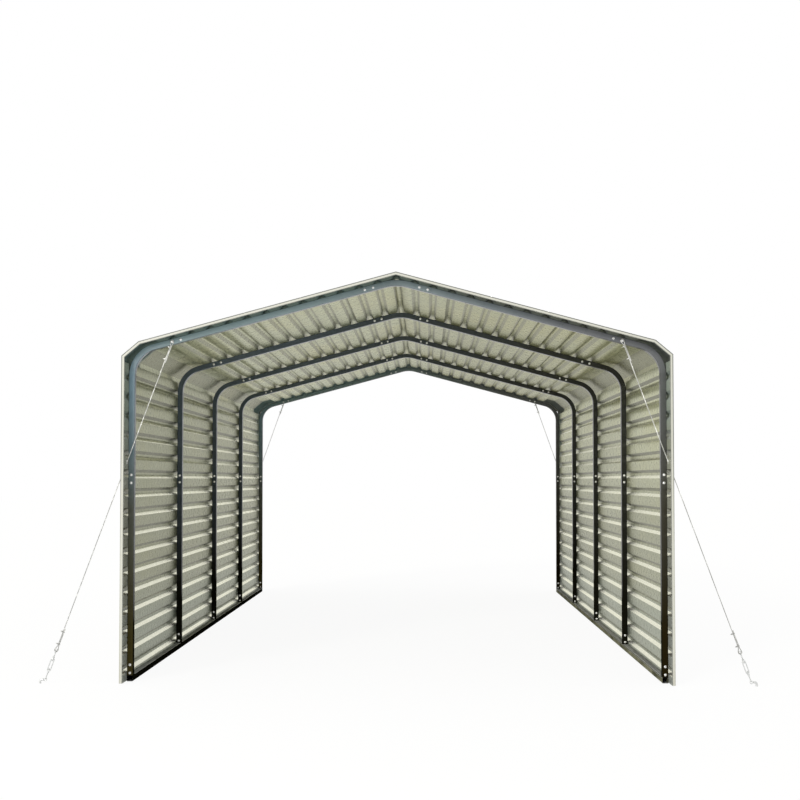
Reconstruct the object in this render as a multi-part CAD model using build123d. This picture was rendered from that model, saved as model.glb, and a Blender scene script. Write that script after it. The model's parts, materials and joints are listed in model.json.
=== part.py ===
from build123d import *
from math import atan2, cos, radians, sin, sqrt, tan
import os

# Steel carport, open at both gables: five bows of bent square tube on two base rails,
# ribbed sheet walls and roof, folded eave flashings, angle trims and a guy wire at each corner.
# Millimetres. X runs across the carport, Y from the front gable to the rear, Z up.
# The origin is the middle of the footprint at ground level, and the front gable is at -Y.

# Frame
frame_width = 3612.0            # outer face to outer face of the legs
bay_length = 1485.0             # one bow to the next
bay_count = 4
eave_height = 2209.0            # where the centre lines of a leg and a rafter meet
roof_pitch = 15.0               # degrees
tube_size = 40.0
tube_wall = 1.5
tube_corner = 2.4               # leg of the flat across each outer corner, as on a 4 mm radius
eave_bend_radius = 200.0        # on the centre line
ridge_bend_radius = 300.0       # on the centre line

# Joints of the bows: the upper end of each lower tube is swaged and slides into the next tube
slide_gap = 0.3                 # between a swaged end and the tube around it
neck_length = 8.0
spigot_length = 120.0
leg_joint_height = 1283.0
rafter_joint_inset = 257.0      # from the leg's centre line in to the joint
ridge_joint_reach = 232.0       # from the middle of the carport
stub_height = 115.0             # of the stubs that the legs stand over
anchor_hole_radius = 6.5

# Ribbed sheets
sheet_thickness = 0.5
seat_gap = 0.3                  # between faces that bear on each other
rib_pitch = 130.0
rib_height = 20.0
rib_base = 60.0
rib_crown = 20.0
lap_lip = 8.0                   # flat edge of the upper sheet at a lap
pitches_per_sheet = 6
gable_overhang = 112.0          # from the end bow's face to the trim's face

# Walls
wall_clearance = 5.0            # from the ground to the sheets and trims
lowest_rib_height = 90.0        # centre of the lowest wall rib
wall_top_drop = 42.0            # from the flashing's lower fold to the sheets' top edge
lower_wall_pitch_count = 3      # the lowest wall sheet is cut lengthwise

# Roof
ridge_side_pitch_count = 3      # from the ridge rib to the first lap

# Eave flashing
eave_fold_drop = 33.0           # lower fold, below where leg and rafter meet
eave_fold_run = 97.0            # upper fold, up the slope from above the wall sheets
flashing_wall_lap = 14.0        # below the centre of the top wall rib
flashing_roof_lap = 18.0        # past the edge of the last roof rib's crown

# Angle trims around the gables
trim_thickness = 0.9
trim_face = 22.0
trim_leg = 45.0
trim_gap = 0.6                  # between one length of trim and the next
ridge_trim_reach = 840.0        # from the middle of the carport
wall_trim_height = 1460.0

# Guy wires
wire_radius = 3.0
wire_anchor_inset = 15.0        # the upper eye, in from the joint of bend and rafter
stake_set_aside = 520.0         # the stake's eye, from the outer face of the legs
stake_eye_height = 26.0
stake_set_out = 90.0            # the stake's eye, from the face of the end bow
stake_radius = 7.0
stake_arm = 34.0                # from the stake's eye to its upright
stake_bend_radius = 12.0
wire_slot_width = 12.0          # of the upright slots where the wires pass through the walls
wire_slot_length = 28.0
eye_hole_radius = 7.0
eye_width = 5.0
eye_thickness = 5.0
screw_radius = 4.0
screw_length = 28.0             # between the turnbuckle's body and its ring
screw_show = 8.0                # of the screw inside the body's window
weld_depth = 2.0                # a rod's end inside the ring it joins
turnbuckle_length = 100.0
turnbuckle_width = 26.0
turnbuckle_end = 16.0
turnbuckle_bar = 6.0
turnbuckle_depth = 12.0
rod_sides = 6                   # flats of the wires, screws and stakes
ring_sides = 8                  # flats of the eyes

# Derived places
half_tube = tube_size / 2
pitch = radians(roof_pitch)
leg_line = frame_width / 2 - half_tube
frame_length = bay_length * bay_count + tube_size
bow_places = [bay_length * (i - bay_count / 2) for i in range(bay_count + 1)]
rafter_joint_reach = leg_line - rafter_joint_inset
apex_height = eave_height + leg_line * tan(pitch)
bore_size = tube_size - 2 * tube_wall
spigot_size = bore_size - 2 * slide_gap
sheet_level = half_tube + seat_gap
lap_lift = sheet_thickness + seat_gap
crown_level = rib_height + sheet_thickness
trim_level = crown_level + lap_lift + seat_gap + trim_thickness
flashing_wall_level = crown_level + seat_gap
flashing_roof_level = rib_height - lap_lift
sheet_apex = apex_height + sheet_level / cos(pitch)
wall_sheet_line = leg_line + sheet_level
sheet_length = frame_length + 2 * (gable_overhang - trim_thickness - seat_gap)
eave_fold_height = eave_height - eave_fold_drop
eave_fold_slope = wall_sheet_line / cos(pitch) - eave_fold_run
wall_sheet_top = eave_fold_height - wall_top_drop
top_wall_rib = int((wall_sheet_top - rib_base - lowest_rib_height) // rib_pitch)
last_roof_rib = int((eave_fold_slope - rib_base) // rib_pitch)
wall_laps = [0, lower_wall_pitch_count, lower_wall_pitch_count + pitches_per_sheet, top_wall_rib]
roof_laps = [ridge_side_pitch_count, ridge_side_pitch_count + pitches_per_sheet, last_roof_rib]


def rafter_height(reach):
    """Height of the rafter's centre line at a distance from the middle."""
    return apex_height - reach * tan(pitch)


def wall_point(height, out):
    """Point of the cross-section, measured out from the inner face of the right wall sheets."""
    return (wall_sheet_line + out, height)


def roof_point(down, out):
    """Point of the cross-section, down the right slope and out from the roof sheets' inner face."""
    return (down * cos(pitch) + out * sin(pitch), sheet_apex - down * sin(pitch) + out * cos(pitch))


def square(size):
    """Square outline of a tube, eased at its corners."""
    return chamfer(Rectangle(size, size).vertices(), tube_corner)


def hollow(size):
    """Hollow section of a tube with that outer size."""
    inner_size = size - 2 * tube_wall
    return square(size) - Rectangle(inner_size, inner_size)


def swaged_end(end):
    """Neck and spigot that carry on from the end of a tube, along the normal of a plane."""
    narrow = end.offset(neck_length)
    inner_size = spigot_size - 2 * tube_wall
    outside = loft([(end * square(tube_size)).face(), (narrow * square(spigot_size)).face()])
    inside = loft([
        (end * Rectangle(bore_size, bore_size)).face(),
        (narrow * Rectangle(inner_size, inner_size)).face(),
    ])
    return (outside - inside) + extrude(narrow * hollow(spigot_size), spigot_length)


def bent_tube(path, swaged):
    """Square tube swept along a path in the cross-section, with or without a swaged far end."""
    start = Plane(origin=path @ 0, x_dir=(0, 1, 0), z_dir=path % 0)
    tube = sweep(start * hollow(tube_size), path=path)
    if swaged:
        tube += swaged_end(Plane(origin=path @ 1, x_dir=(0, 1, 0), z_dir=path % 1))
    return tube


def leg():
    """Straight leg, open below to slide over the rail's stub and swaged above."""
    foot = (leg_line, tube_size + seat_gap)
    head = (leg_line, leg_joint_height - neck_length)
    return bent_tube(Plane.XZ * Line(foot, head), True)


def eave_bend():
    """Upper part of a leg, bent over to the slope of the rafter."""
    end_reach = rafter_joint_reach + neck_length * cos(pitch)
    path = FilletPolyline(
        (leg_line, leg_joint_height + seat_gap),
        (leg_line, eave_height),
        (end_reach, rafter_height(end_reach)),
        radius=eave_bend_radius,
    )
    return bent_tube(Plane.XZ * path, True)


def rafter():
    """Straight tube from the eave bend up to the ridge bend."""
    start_reach = rafter_joint_reach - seat_gap * cos(pitch)
    end_reach = ridge_joint_reach + neck_length * cos(pitch)
    start = (start_reach, rafter_height(start_reach))
    end = (end_reach, rafter_height(end_reach))
    return bent_tube(Plane.XZ * Line(start, end), True)


def ridge_bend():
    """Short tube bent over the ridge, with both ends open to take the rafters."""
    reach = ridge_joint_reach - seat_gap * cos(pitch)
    path = FilletPolyline(
        (-reach, rafter_height(reach)),
        (0, apex_height),
        (reach, rafter_height(reach)),
        radius=ridge_bend_radius,
    )
    return bent_tube(Plane.XZ * path, False)


def base_rail():
    """Right base rail, with a stub welded on at each bow and an anchor hole in each bay."""
    rail = extrude(Plane.XZ * Pos(leg_line, half_tube) * hollow(tube_size), frame_length / 2, both=True)
    stub_bore = spigot_size - 2 * tube_wall
    stub = extrude(Rectangle(spigot_size, spigot_size) - Rectangle(stub_bore, stub_bore), stub_height)
    for place in bow_places:
        rail += Pos(leg_line, place, tube_size) * stub
    anchor_bore = Cylinder(anchor_hole_radius, 2 * tube_size)
    for place in bow_places[:-1]:
        rail -= Pos(leg_line, place + bay_length / 2, half_tube) * anchor_bore
    return rail


def rib(centre, lift=0.0):
    """Four corners of a rib's inner face, as distances along and out of the sheet.

    A lift moves the rib's faces out evenly, so that one rib nests over another."""
    slant = atan2(rib_height, (rib_base - rib_crown) / 2)
    spread = lift * tan(slant / 2)
    base = rib_base / 2 + spread
    crown = rib_crown / 2 + spread
    return [
        (centre - base, lift),
        (centre - crown, rib_height + lift),
        (centre + crown, rib_height + lift),
        (centre + base, lift),
    ]


def lap_rib(centre, side):
    """Rib at the edge of an upper sheet: it nests over the rib below and ends in a flat lip.

    The side is +1 where the sheet runs on after the rib and -1 where it ends there."""
    slant = atan2(rib_height, (rib_base - rib_crown) / 2)
    points = rib(centre, lap_lift)
    settled = rib_base / 2 + lap_lift / sin(slant)
    if side > 0:
        lip = (points[0][0] - lap_lip, lap_lift)
        return [lip] + points[:3] + [(centre + settled, 0)]
    lip = (points[3][0] + lap_lip, lap_lift)
    return [(centre - settled, 0)] + points[1:] + [lip]


def folded_strip(points, thickness):
    """Cross-section of a folded strip: the line as given, and its copy to the left, mitred."""
    corners = [Vector(*point) for point in points]
    ways = [(end - start).normalized() for start, end in zip(corners, corners[1:])]
    normals = [Vector(-way.Y, way.X) for way in ways]
    neighbours = zip(normals[:1] + normals, normals + normals[-1:])
    mitres = [(a + b) / (1 + a.dot(b)) for a, b in neighbours]
    far_side = [corner + mitre * thickness for corner, mitre in zip(corners, mitres)]
    return make_face(Polyline(*corners, *reversed(far_side), close=True))


def pressed_sheet(points):
    """Folded sheet as long as the roof, from the line of its inner face, followed downwards."""
    return extrude(Plane.XZ * folded_strip(points, sheet_thickness), sheet_length / 2, both=True)


def wall_sheet(first_rib, last_rib, lapped_below):
    """Right wall sheet between two of its ribs. The ribs run from front to rear.

    The top sheet has a slot near each gable, where a guy wire passes out."""
    profile = []
    for k in range(first_rib, last_rib + 1):
        centre = lowest_rib_height + rib_pitch * k
        if k == first_rib and lapped_below:
            profile += lap_rib(centre, 1)
        else:
            profile += rib(centre)
    if first_rib == 0:
        profile.insert(0, (wall_clearance, 0))
    if last_rib == top_wall_rib:
        profile.append((wall_sheet_top, 0))
    sheet = pressed_sheet([wall_point(*p) for p in reversed(profile)])
    if last_rib == top_wall_rib:
        sheet -= wire_slot()
        sheet -= rear(wire_slot())
    return sheet


def roof_sheet(first_rib, last_rib):
    """Right roof sheet between two of its ribs, which tuck under the sheet above."""
    profile = []
    for k in range(first_rib, last_rib + 1):
        if k == last_rib and k < last_roof_rib:
            profile += lap_rib(rib_pitch * k, -1)
        else:
            profile += rib(rib_pitch * k)
    if last_rib == last_roof_rib:
        profile.pop()
    return pressed_sheet([roof_point(*p) for p in profile])


def ridge_sheet():
    """Sheet folded over the ridge along the crown of its middle rib. Both edges lap outwards."""
    right = [roof_point(-rib_height * tan(pitch), rib_height)]
    right += [roof_point(*p) for p in rib(0)[2:]]
    for k in range(1, ridge_side_pitch_count):
        right += [roof_point(*p) for p in rib(rib_pitch * k)]
    right += [roof_point(*p) for p in lap_rib(rib_pitch * ridge_side_pitch_count, -1)]
    left = [(-x, z) for x, z in reversed(right[1:])]
    return pressed_sheet(left + right)


def eave_flashing():
    """Flashing folded from the top rib of the wall to the last rib of the roof."""
    top_rib = lowest_rib_height + rib_pitch * top_wall_rib
    last_rib = rib_pitch * last_roof_rib
    return pressed_sheet([
        roof_point(last_rib + rib_crown / 2 - flashing_roof_lap, flashing_roof_level),
        roof_point(eave_fold_slope, flashing_roof_level),
        wall_point(eave_fold_height, flashing_wall_level),
        wall_point(top_rib - flashing_wall_lap, flashing_wall_level),
    ])


def crossing(start, way, other_start, other_way):
    """Point where two straight lines of the cross-section cross."""
    gap = other_start - start
    reach = (gap.X * other_way.Y - gap.Y * other_way.X) / (way.X * other_way.Y - way.Y * other_way.X)
    point = start + way * reach
    return (point.X, point.Y)


def trim_outline():
    """Outer corners of the right half of the gable trim, from the ground to the ridge.

    Between the folds it lies on the flashing, and above and below them on the highest ribs."""
    flashing_high = Vector(*roof_point(eave_fold_slope, flashing_roof_level))
    flashing_low = Vector(*wall_point(eave_fold_height, flashing_wall_level))
    way = (flashing_low - flashing_high).normalized()
    start = flashing_high + Vector(-way.Y, way.X) * (lap_lift + trim_thickness)
    return [
        wall_point(wall_clearance, trim_level),
        crossing(start, way, Vector(*wall_point(0, trim_level)), Vector(0, 1)),
        crossing(start, way, Vector(*roof_point(0, trim_level)), Vector(cos(pitch), -sin(pitch))),
        roof_point(-trim_level * tan(pitch), trim_level),
    ]


def along(start, end, distance):
    """Point at a distance from the start of a straight line."""
    length = sqrt((end[0] - start[0]) ** 2 + (end[1] - start[1]) ** 2)
    share = distance / length
    return (start[0] + (end[0] - start[0]) * share, start[1] + (end[1] - start[1]) * share)


def front_trim(points):
    """Angle trim at the front gable, folded round the edge of the sheets."""
    gable = Plane.XZ.offset(frame_length / 2 + gable_overhang)
    inwards = (0, 1, 0)
    front_leg = extrude(gable * folded_strip(points, trim_face), trim_thickness, dir=inwards)
    outer_leg = extrude(gable * folded_strip(points, trim_thickness), trim_leg, dir=inwards)
    return front_leg + outer_leg


def wall_trim():
    foot, fold = trim_outline()[:2]
    return front_trim([foot, along(foot, fold, wall_trim_height - wall_clearance - trim_gap / 2)])


def eave_trim():
    foot, fold, upper_fold, ridge = trim_outline()
    start = along(foot, fold, wall_trim_height - wall_clearance + trim_gap / 2)
    end = along(ridge, upper_fold, (ridge_trim_reach + trim_gap / 2) / cos(pitch))
    return front_trim([start, fold, upper_fold, end])


def ridge_trim():
    upper_fold, ridge = trim_outline()[2:]
    end = along(ridge, upper_fold, (ridge_trim_reach - trim_gap / 2) / cos(pitch))
    return front_trim([end, ridge, (-end[0], end[1])])


def eye(centre, direction, normal):
    """Flat ring round a point, with its hole square to the normal."""
    plane = Plane(origin=centre, x_dir=direction, z_dir=normal)
    hole = RegularPolygon(eye_hole_radius, ring_sides, major_radius=False)
    ring = RegularPolygon(eye_radius, ring_sides) - hole
    return extrude(plane * ring, eye_thickness / 2, both=True)


def rod(start, end, radius):
    """Bar from one point to another, with as many sides as a round one needs."""
    axis = end - start
    return extrude(Plane(origin=start, z_dir=axis) * RegularPolygon(radius, rod_sides), axis.length)


# Guy wires: each runs straight from an eye at the end bow to an eye on a stake
eye_radius = eye_hole_radius + eye_width
wire_anchor_reach = rafter_joint_reach - wire_anchor_inset
stake_reach = frame_width / 2 + stake_set_aside
end_bow_face = frame_length / 2
wire_top_height = rafter_height(wire_anchor_reach)
wire_tilt = atan2(stake_set_out, wire_top_height - stake_eye_height)
eye_stand_off = seat_gap + eye_thickness / 2 + eye_radius * sin(wire_tilt)
wire_top = Vector(wire_anchor_reach, -(end_bow_face + eye_stand_off), wire_top_height)
stake_eye = Vector(stake_reach, -(end_bow_face + stake_set_out), stake_eye_height)
wire_way = (stake_eye - wire_top).normalized()
eye_face = wire_way.cross(Vector(0, 1, 0)).cross(wire_way).normalized()
eye_side = wire_way.cross(eye_face).normalized()
link_step = 2 * sqrt(eye_hole_radius ** 2 - (eye_thickness / 2) ** 2) - seat_gap
lower_eye = stake_eye - wire_way * link_step
body_low = lower_eye - wire_way * (eye_radius + screw_length)
body_high = body_low - wire_way * turnbuckle_length
upper_eye = body_high - wire_way * (eye_radius + screw_length)
wire_end = upper_eye - wire_way * link_step


def wire_slot():
    """Upright slot in the pan of the right wall, round the place where the front wire crosses it."""
    crossing_place = wire_top + wire_way * ((wall_sheet_line - wire_top.X) / wire_way.X)
    upright = Plane(origin=crossing_place, x_dir=(0, 0, 1), z_dir=(1, 0, 0))
    return extrude(upright * SlotOverall(wire_slot_length, wire_slot_width), 2 * sheet_thickness, both=True)


def guy_wire():
    """Wire with an eye at each end, from the end bow down to the turnbuckle."""
    to_ring = wire_way * (eye_radius - weld_depth)
    wire = rod(wire_top + to_ring, wire_end - to_ring, wire_radius)
    return wire + eye(wire_top, wire_way, eye_face) + eye(wire_end, wire_way, eye_face)


def screw_eye(ring_centre, body_end):
    """Screw from inside the body's end out to its ring."""
    way = (ring_centre - body_end).normalized()
    inside = body_end - way * (turnbuckle_end + screw_show)
    shank = rod(inside, ring_centre - way * (eye_radius - weld_depth), screw_radius)
    return shank + eye(ring_centre, wire_way, eye_side)


def turnbuckle():
    """Open turnbuckle body with a screw eye in each end."""
    middle = Plane(origin=(body_low + body_high) / 2, x_dir=wire_way, z_dir=eye_face)
    outline = Rectangle(turnbuckle_length, turnbuckle_width)
    window = Rectangle(turnbuckle_length - 2 * turnbuckle_end, turnbuckle_width - 2 * turnbuckle_bar)
    body = extrude(middle * (outline - window), turnbuckle_depth / 2, both=True)
    return body + screw_eye(lower_eye, body_low) + screw_eye(upper_eye, body_high)


def stake():
    """Stake driven into the ground, its top bent over to an eye that holds the turnbuckle."""
    level = Plane(origin=stake_eye, x_dir=(1, 0, 0), z_dir=(0, -1, 0))
    path = level * FilletPolyline(
        (eye_radius - weld_depth, 0),
        (stake_arm, 0),
        (stake_arm, -stake_eye_height),
        radius=stake_bend_radius,
    )
    start = Plane(origin=path @ 0, x_dir=(0, 1, 0), z_dir=path % 0)
    bar = sweep(start * RegularPolygon(stake_radius, rod_sides), path=path)
    return bar + eye(stake_eye, wire_way, eye_face)


def left(shape):
    """The same piece on the left side."""
    return mirror(shape, about=Plane.YZ)


def rear(shape):
    """The same piece at the rear gable."""
    return mirror(shape, about=Plane.XZ)


def pair(shape):
    """The right piece and its mirror image, as two solids."""
    return Compound(children=[shape, left(shape)])


def save(name, shape):
    export_step(shape, "parts/" + name + ".step")


os.makedirs("parts", exist_ok=True)

for number, place in enumerate(bow_places, start=1):
    bow = "bow_" + str(number)
    save(bow + "_legs", Pos(0, place, 0) * pair(leg()))
    save(bow + "_eave_bends", Pos(0, place, 0) * pair(eave_bend()))
    save(bow + "_rafters", Pos(0, place, 0) * pair(rafter()))

save("ridge_bends", Compound(children=[Pos(0, place, 0) * ridge_bend() for place in bow_places]))

right_pieces = {
    "base_rail": base_rail(),
    "lower_wall_sheet": wall_sheet(wall_laps[0], wall_laps[1], False),
    "middle_wall_sheet": wall_sheet(wall_laps[1], wall_laps[2], True),
    "upper_wall_sheet": wall_sheet(wall_laps[2], wall_laps[3], True),
    "eave_flashing": eave_flashing(),
    "lower_roof_sheet": roof_sheet(roof_laps[1], roof_laps[2]),
    "middle_roof_sheet": roof_sheet(roof_laps[0], roof_laps[1]),
}
for name, piece in right_pieces.items():
    save("right_" + name, piece)
    save("left_" + name, left(piece))

save("ridge_sheet", ridge_sheet())

front_pieces = {
    "ridge_trim": ridge_trim(),
    "eave_trims": pair(eave_trim()),
    "wall_trims": pair(wall_trim()),
    "guy_wires": pair(guy_wire()),
}
for name, piece in front_pieces.items():
    save("front_" + name, piece)
    save("rear_" + name, rear(piece))

corner_pieces = {"turnbuckles": turnbuckle(), "ground_stakes": stake()}
for name, piece in corner_pieces.items():
    save(name, Compound(children=[piece, left(piece), rear(piece), rear(left(piece))]))
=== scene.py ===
import json
from math import atan2, cos, pi, radians, sin, sqrt, tan

import bmesh
import bpy
from mathutils import Matrix, Vector


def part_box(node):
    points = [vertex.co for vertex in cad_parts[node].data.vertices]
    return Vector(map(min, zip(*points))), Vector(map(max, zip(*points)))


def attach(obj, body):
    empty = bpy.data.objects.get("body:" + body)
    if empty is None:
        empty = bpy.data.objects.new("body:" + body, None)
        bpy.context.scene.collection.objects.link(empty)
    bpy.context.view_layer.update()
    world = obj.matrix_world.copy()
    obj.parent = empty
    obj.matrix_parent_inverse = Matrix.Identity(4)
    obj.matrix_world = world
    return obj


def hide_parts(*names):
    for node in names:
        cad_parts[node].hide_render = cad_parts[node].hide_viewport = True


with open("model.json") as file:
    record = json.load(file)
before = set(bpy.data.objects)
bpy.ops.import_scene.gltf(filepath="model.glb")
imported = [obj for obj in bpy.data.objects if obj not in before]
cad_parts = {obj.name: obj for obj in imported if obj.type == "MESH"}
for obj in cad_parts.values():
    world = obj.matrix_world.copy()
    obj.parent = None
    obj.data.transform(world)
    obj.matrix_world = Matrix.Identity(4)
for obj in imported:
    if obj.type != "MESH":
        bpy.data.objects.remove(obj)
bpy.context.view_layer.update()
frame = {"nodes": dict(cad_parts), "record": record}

# Steel carport, open at both gables. The tubes, sheets, flashings and trims are the frame's own
# solids with finished materials. This script adds the bolts and the sheet screws. In place of the
# frame's plain wires, turnbuckles and stakes it makes stranded wires with thimbles and clips, open
# turnbuckles with threaded eyes, and round bent stakes.
# Metres. X runs across, Y from the front gable to the rear, Z up from the ground.

# Sizes of the frame
tube = 0.040
rail_top = tube + 0.0002        # just above the rails' top faces
roof_pitch = radians(15)
ridge_bend_radius = 0.300
rafter_joint_inset = 0.257      # from the leg's centre line in to the joint
ridge_joint_reach = 0.232       # from the middle of the carport
leg_joint_height = 1.283
bow_count = 5
trim_eave_height = 2.1768       # top of the trims' upright part
trim_fold_reach = 1.7155        # from the middle out to where their roof part starts

# Ribbed sheets
rib_pitch = 0.130
lowest_wall_rib = 0.090
top_wall_rib = 15
last_roof_rib = 13
wall_lap_ribs = [3, 9]
roof_lap_ribs = [3, 9]
sheet_seat = 0.0203             # from a tube's centre line to the sheets' inner face
sheet_thickness = 0.0005
rib_crown = 0.0205              # outer face of a rib's crown, from the sheets' inner face
lap_lift = 0.0008

# Guy wires
seat_gap = 0.0003
wire_anchor_inset = 0.015       # the upper eye, in from the joint of bend and rafter
stake_set_aside = 0.520         # the stake's eye, from the outer face of the legs
stake_set_out = 0.090           # the stake's eye, from the face of the end bow
stake_eye_height = 0.026
stake_arm = 0.034
stake_radius = 0.007
stake_bend_radius = 0.012
eye_hole_radius = 0.007
eye_bar = 0.005
screw_length = 0.028
screw_show = 0.008
turnbuckle_length = 0.100
turnbuckle_width = 0.026
turnbuckle_end = 0.016

# Places worked out from the frame
side_pair = (-1, 1)
leg_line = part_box("bow_1_legs")[1].x - tube / 2
bow_faces = [(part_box(f"bow_{n}_legs")[0].y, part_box(f"bow_{n}_legs")[1].y) for n in range(1, bow_count + 1)]
ridge_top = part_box("ridge_bends")[1].z
apex_height = ridge_top - tube / 2 - ridge_bend_radius + ridge_bend_radius / cos(roof_pitch)
sheet_apex = apex_height + sheet_seat / cos(roof_pitch)
wall_sheet_line = leg_line + sheet_seat
trim_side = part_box("front_wall_trims")[1].x
trim_ends = (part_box("front_wall_trims")[0].y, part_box("rear_wall_trims")[1].y)
trim_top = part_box("front_ridge_trim")[1].z
rafter_joint_reach = leg_line - rafter_joint_inset
anchor_reach = rafter_joint_reach - wire_anchor_inset


def rafter_height(reach):
    """Height of the rafters' centre line at a distance from the middle."""
    return apex_height - reach * tan(roof_pitch)


def roof_place(side, down, out, y):
    """Point on a roof slope: down the slope from the ridge and out from the sheets' inner face."""
    x = down * cos(roof_pitch) + out * sin(roof_pitch)
    z = sheet_apex - down * sin(roof_pitch) + out * cos(roof_pitch)
    return Vector((side * x, y, z))


def roof_normal(side):
    return Vector((side * sin(roof_pitch), 0, cos(roof_pitch)))


# Materials

class Graph:
    """The node tree of one material, with short calls for the nodes that it uses."""

    def __init__(self, name):
        self.material = bpy.data.materials.new(name)
        self.material.use_nodes = True
        self.tree = self.material.node_tree
        self.shader = self.tree.nodes["Principled BSDF"]
        self.place = self.tree.nodes.new("ShaderNodeTexCoord").outputs["Object"]

    def put(self, socket, value):
        """Links a socket, or sets its value."""
        if isinstance(value, bpy.types.NodeSocket):
            self.tree.links.new(value, socket)
        else:
            socket.default_value = value

    def stretched(self, x, y, z):
        """The object's coordinates, scaled along each axis."""
        node = self.tree.nodes.new("ShaderNodeMapping")
        node.inputs["Scale"].default_value = (x, y, z)
        self.put(node.inputs["Vector"], self.place)
        return node.outputs["Vector"]

    def noise(self, scale, detail=3.0, rough=0.55, place=None, distortion=0.0):
        node = self.tree.nodes.new("ShaderNodeTexNoise")
        node.inputs["Scale"].default_value = scale
        node.inputs["Detail"].default_value = detail
        node.inputs["Roughness"].default_value = rough
        node.inputs["Distortion"].default_value = distortion
        self.put(node.inputs["Vector"], place or self.place)
        return node.outputs["Fac"]

    def cells(self, scale, place=None):
        """Random grey for each cell of a Voronoi pattern."""
        node = self.tree.nodes.new("ShaderNodeTexVoronoi")
        node.inputs["Scale"].default_value = scale
        self.put(node.inputs["Vector"], place or self.place)
        split = self.tree.nodes.new("ShaderNodeSeparateColor")
        self.put(split.inputs["Color"], node.outputs["Color"])
        return split.outputs["Red"]

    def part(self, axis):
        """One of the object's coordinates."""
        node = self.tree.nodes.new("ShaderNodeSeparateXYZ")
        self.put(node.inputs["Vector"], self.place)
        return node.outputs[axis]

    def normal_part(self, axis):
        """One part of the surface's normal."""
        source = self.tree.nodes.new("ShaderNodeNewGeometry")
        node = self.tree.nodes.new("ShaderNodeSeparateXYZ")
        self.put(node.inputs["Vector"], source.outputs["True Normal"])
        return node.outputs[axis]

    def spread(self, value, from_low, from_high, to_low, to_high, smooth=False):
        """A value moved from one range to another, and held inside it."""
        node = self.tree.nodes.new("ShaderNodeMapRange")
        node.interpolation_type = "SMOOTHSTEP" if smooth else "LINEAR"
        self.put(node.inputs["Value"], value)
        node.inputs["From Min"].default_value = from_low
        node.inputs["From Max"].default_value = from_high
        node.inputs["To Min"].default_value = to_low
        node.inputs["To Max"].default_value = to_high
        return node.outputs["Result"]

    def maths(self, operation, a, b=0.0):
        node = self.tree.nodes.new("ShaderNodeMath")
        node.operation = operation
        self.put(node.inputs[0], a)
        self.put(node.inputs[1], b)
        return node.outputs[0]

    def mix(self, share, a, b, blend="MIX"):
        """A colour between two others, or one blended over the other."""
        node = self.tree.nodes.new("ShaderNodeMix")
        node.data_type = "RGBA"
        node.blend_type = blend
        self.put(node.inputs[0], share)
        self.put(node.inputs[6], a if isinstance(a, bpy.types.NodeSocket) else (*a, 1))
        self.put(node.inputs[7], b if isinstance(b, bpy.types.NodeSocket) else (*b, 1))
        return node.outputs[2]

    def bump(self, height, distance, strength, under=None):
        node = self.tree.nodes.new("ShaderNodeBump")
        node.inputs["Strength"].default_value = strength
        node.inputs["Distance"].default_value = distance
        self.put(node.inputs["Height"], height)
        if under:
            self.put(node.inputs["Normal"], under)
        return node.outputs["Normal"]

    def finish(self, colour, roughness, normal, metallic=0.0):
        self.put(self.shader.inputs["Base Color"], colour)
        self.put(self.shader.inputs["Roughness"], roughness)
        self.put(self.shader.inputs["Metallic"], metallic)
        self.put(self.shader.inputs["Normal"], normal)
        return self.material


def gable_painted_reflection(g, height, across, patches):
    """Painted reflection on the end bows' gable faces: sky teal high up on the left, grey on the right, dark
    olive at middle heights, and ground brown low down.
    """
    leg_teal = g.mix(patches, (0.26, 0.40, 0.50), (0.35, 0.51, 0.61))
    leg_grey = g.mix(patches, (0.10, 0.105, 0.10), (0.13, 0.135, 0.135))
    rafter_teal = g.mix(patches, (0.33, 0.46, 0.49), (0.40, 0.53, 0.56))
    rafter_grey = g.mix(patches, (0.20, 0.21, 0.235), (0.25, 0.26, 0.28))
    on_rafter = g.spread(height, 2.05, 2.30, 0.0, 1.0)
    left = g.mix(on_rafter, leg_teal, rafter_teal)
    right = g.mix(on_rafter, leg_grey, rafter_grey)
    middle = g.mix(across, (0.115, 0.122, 0.096), (0.040, 0.037, 0.024))
    painted_ground_reflection = g.mix(across, (0.080, 0.064, 0.020), (0.022, 0.016, 0.005))
    painted_upper_reflection = g.mix(g.spread(height, 1.15, 1.95, 0.0, 1.0), middle, g.mix(across, left, right))
    return g.mix(g.spread(height, 0.3, 1.1, 0.0, 1.0), painted_ground_reflection, painted_upper_reflection)


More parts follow.
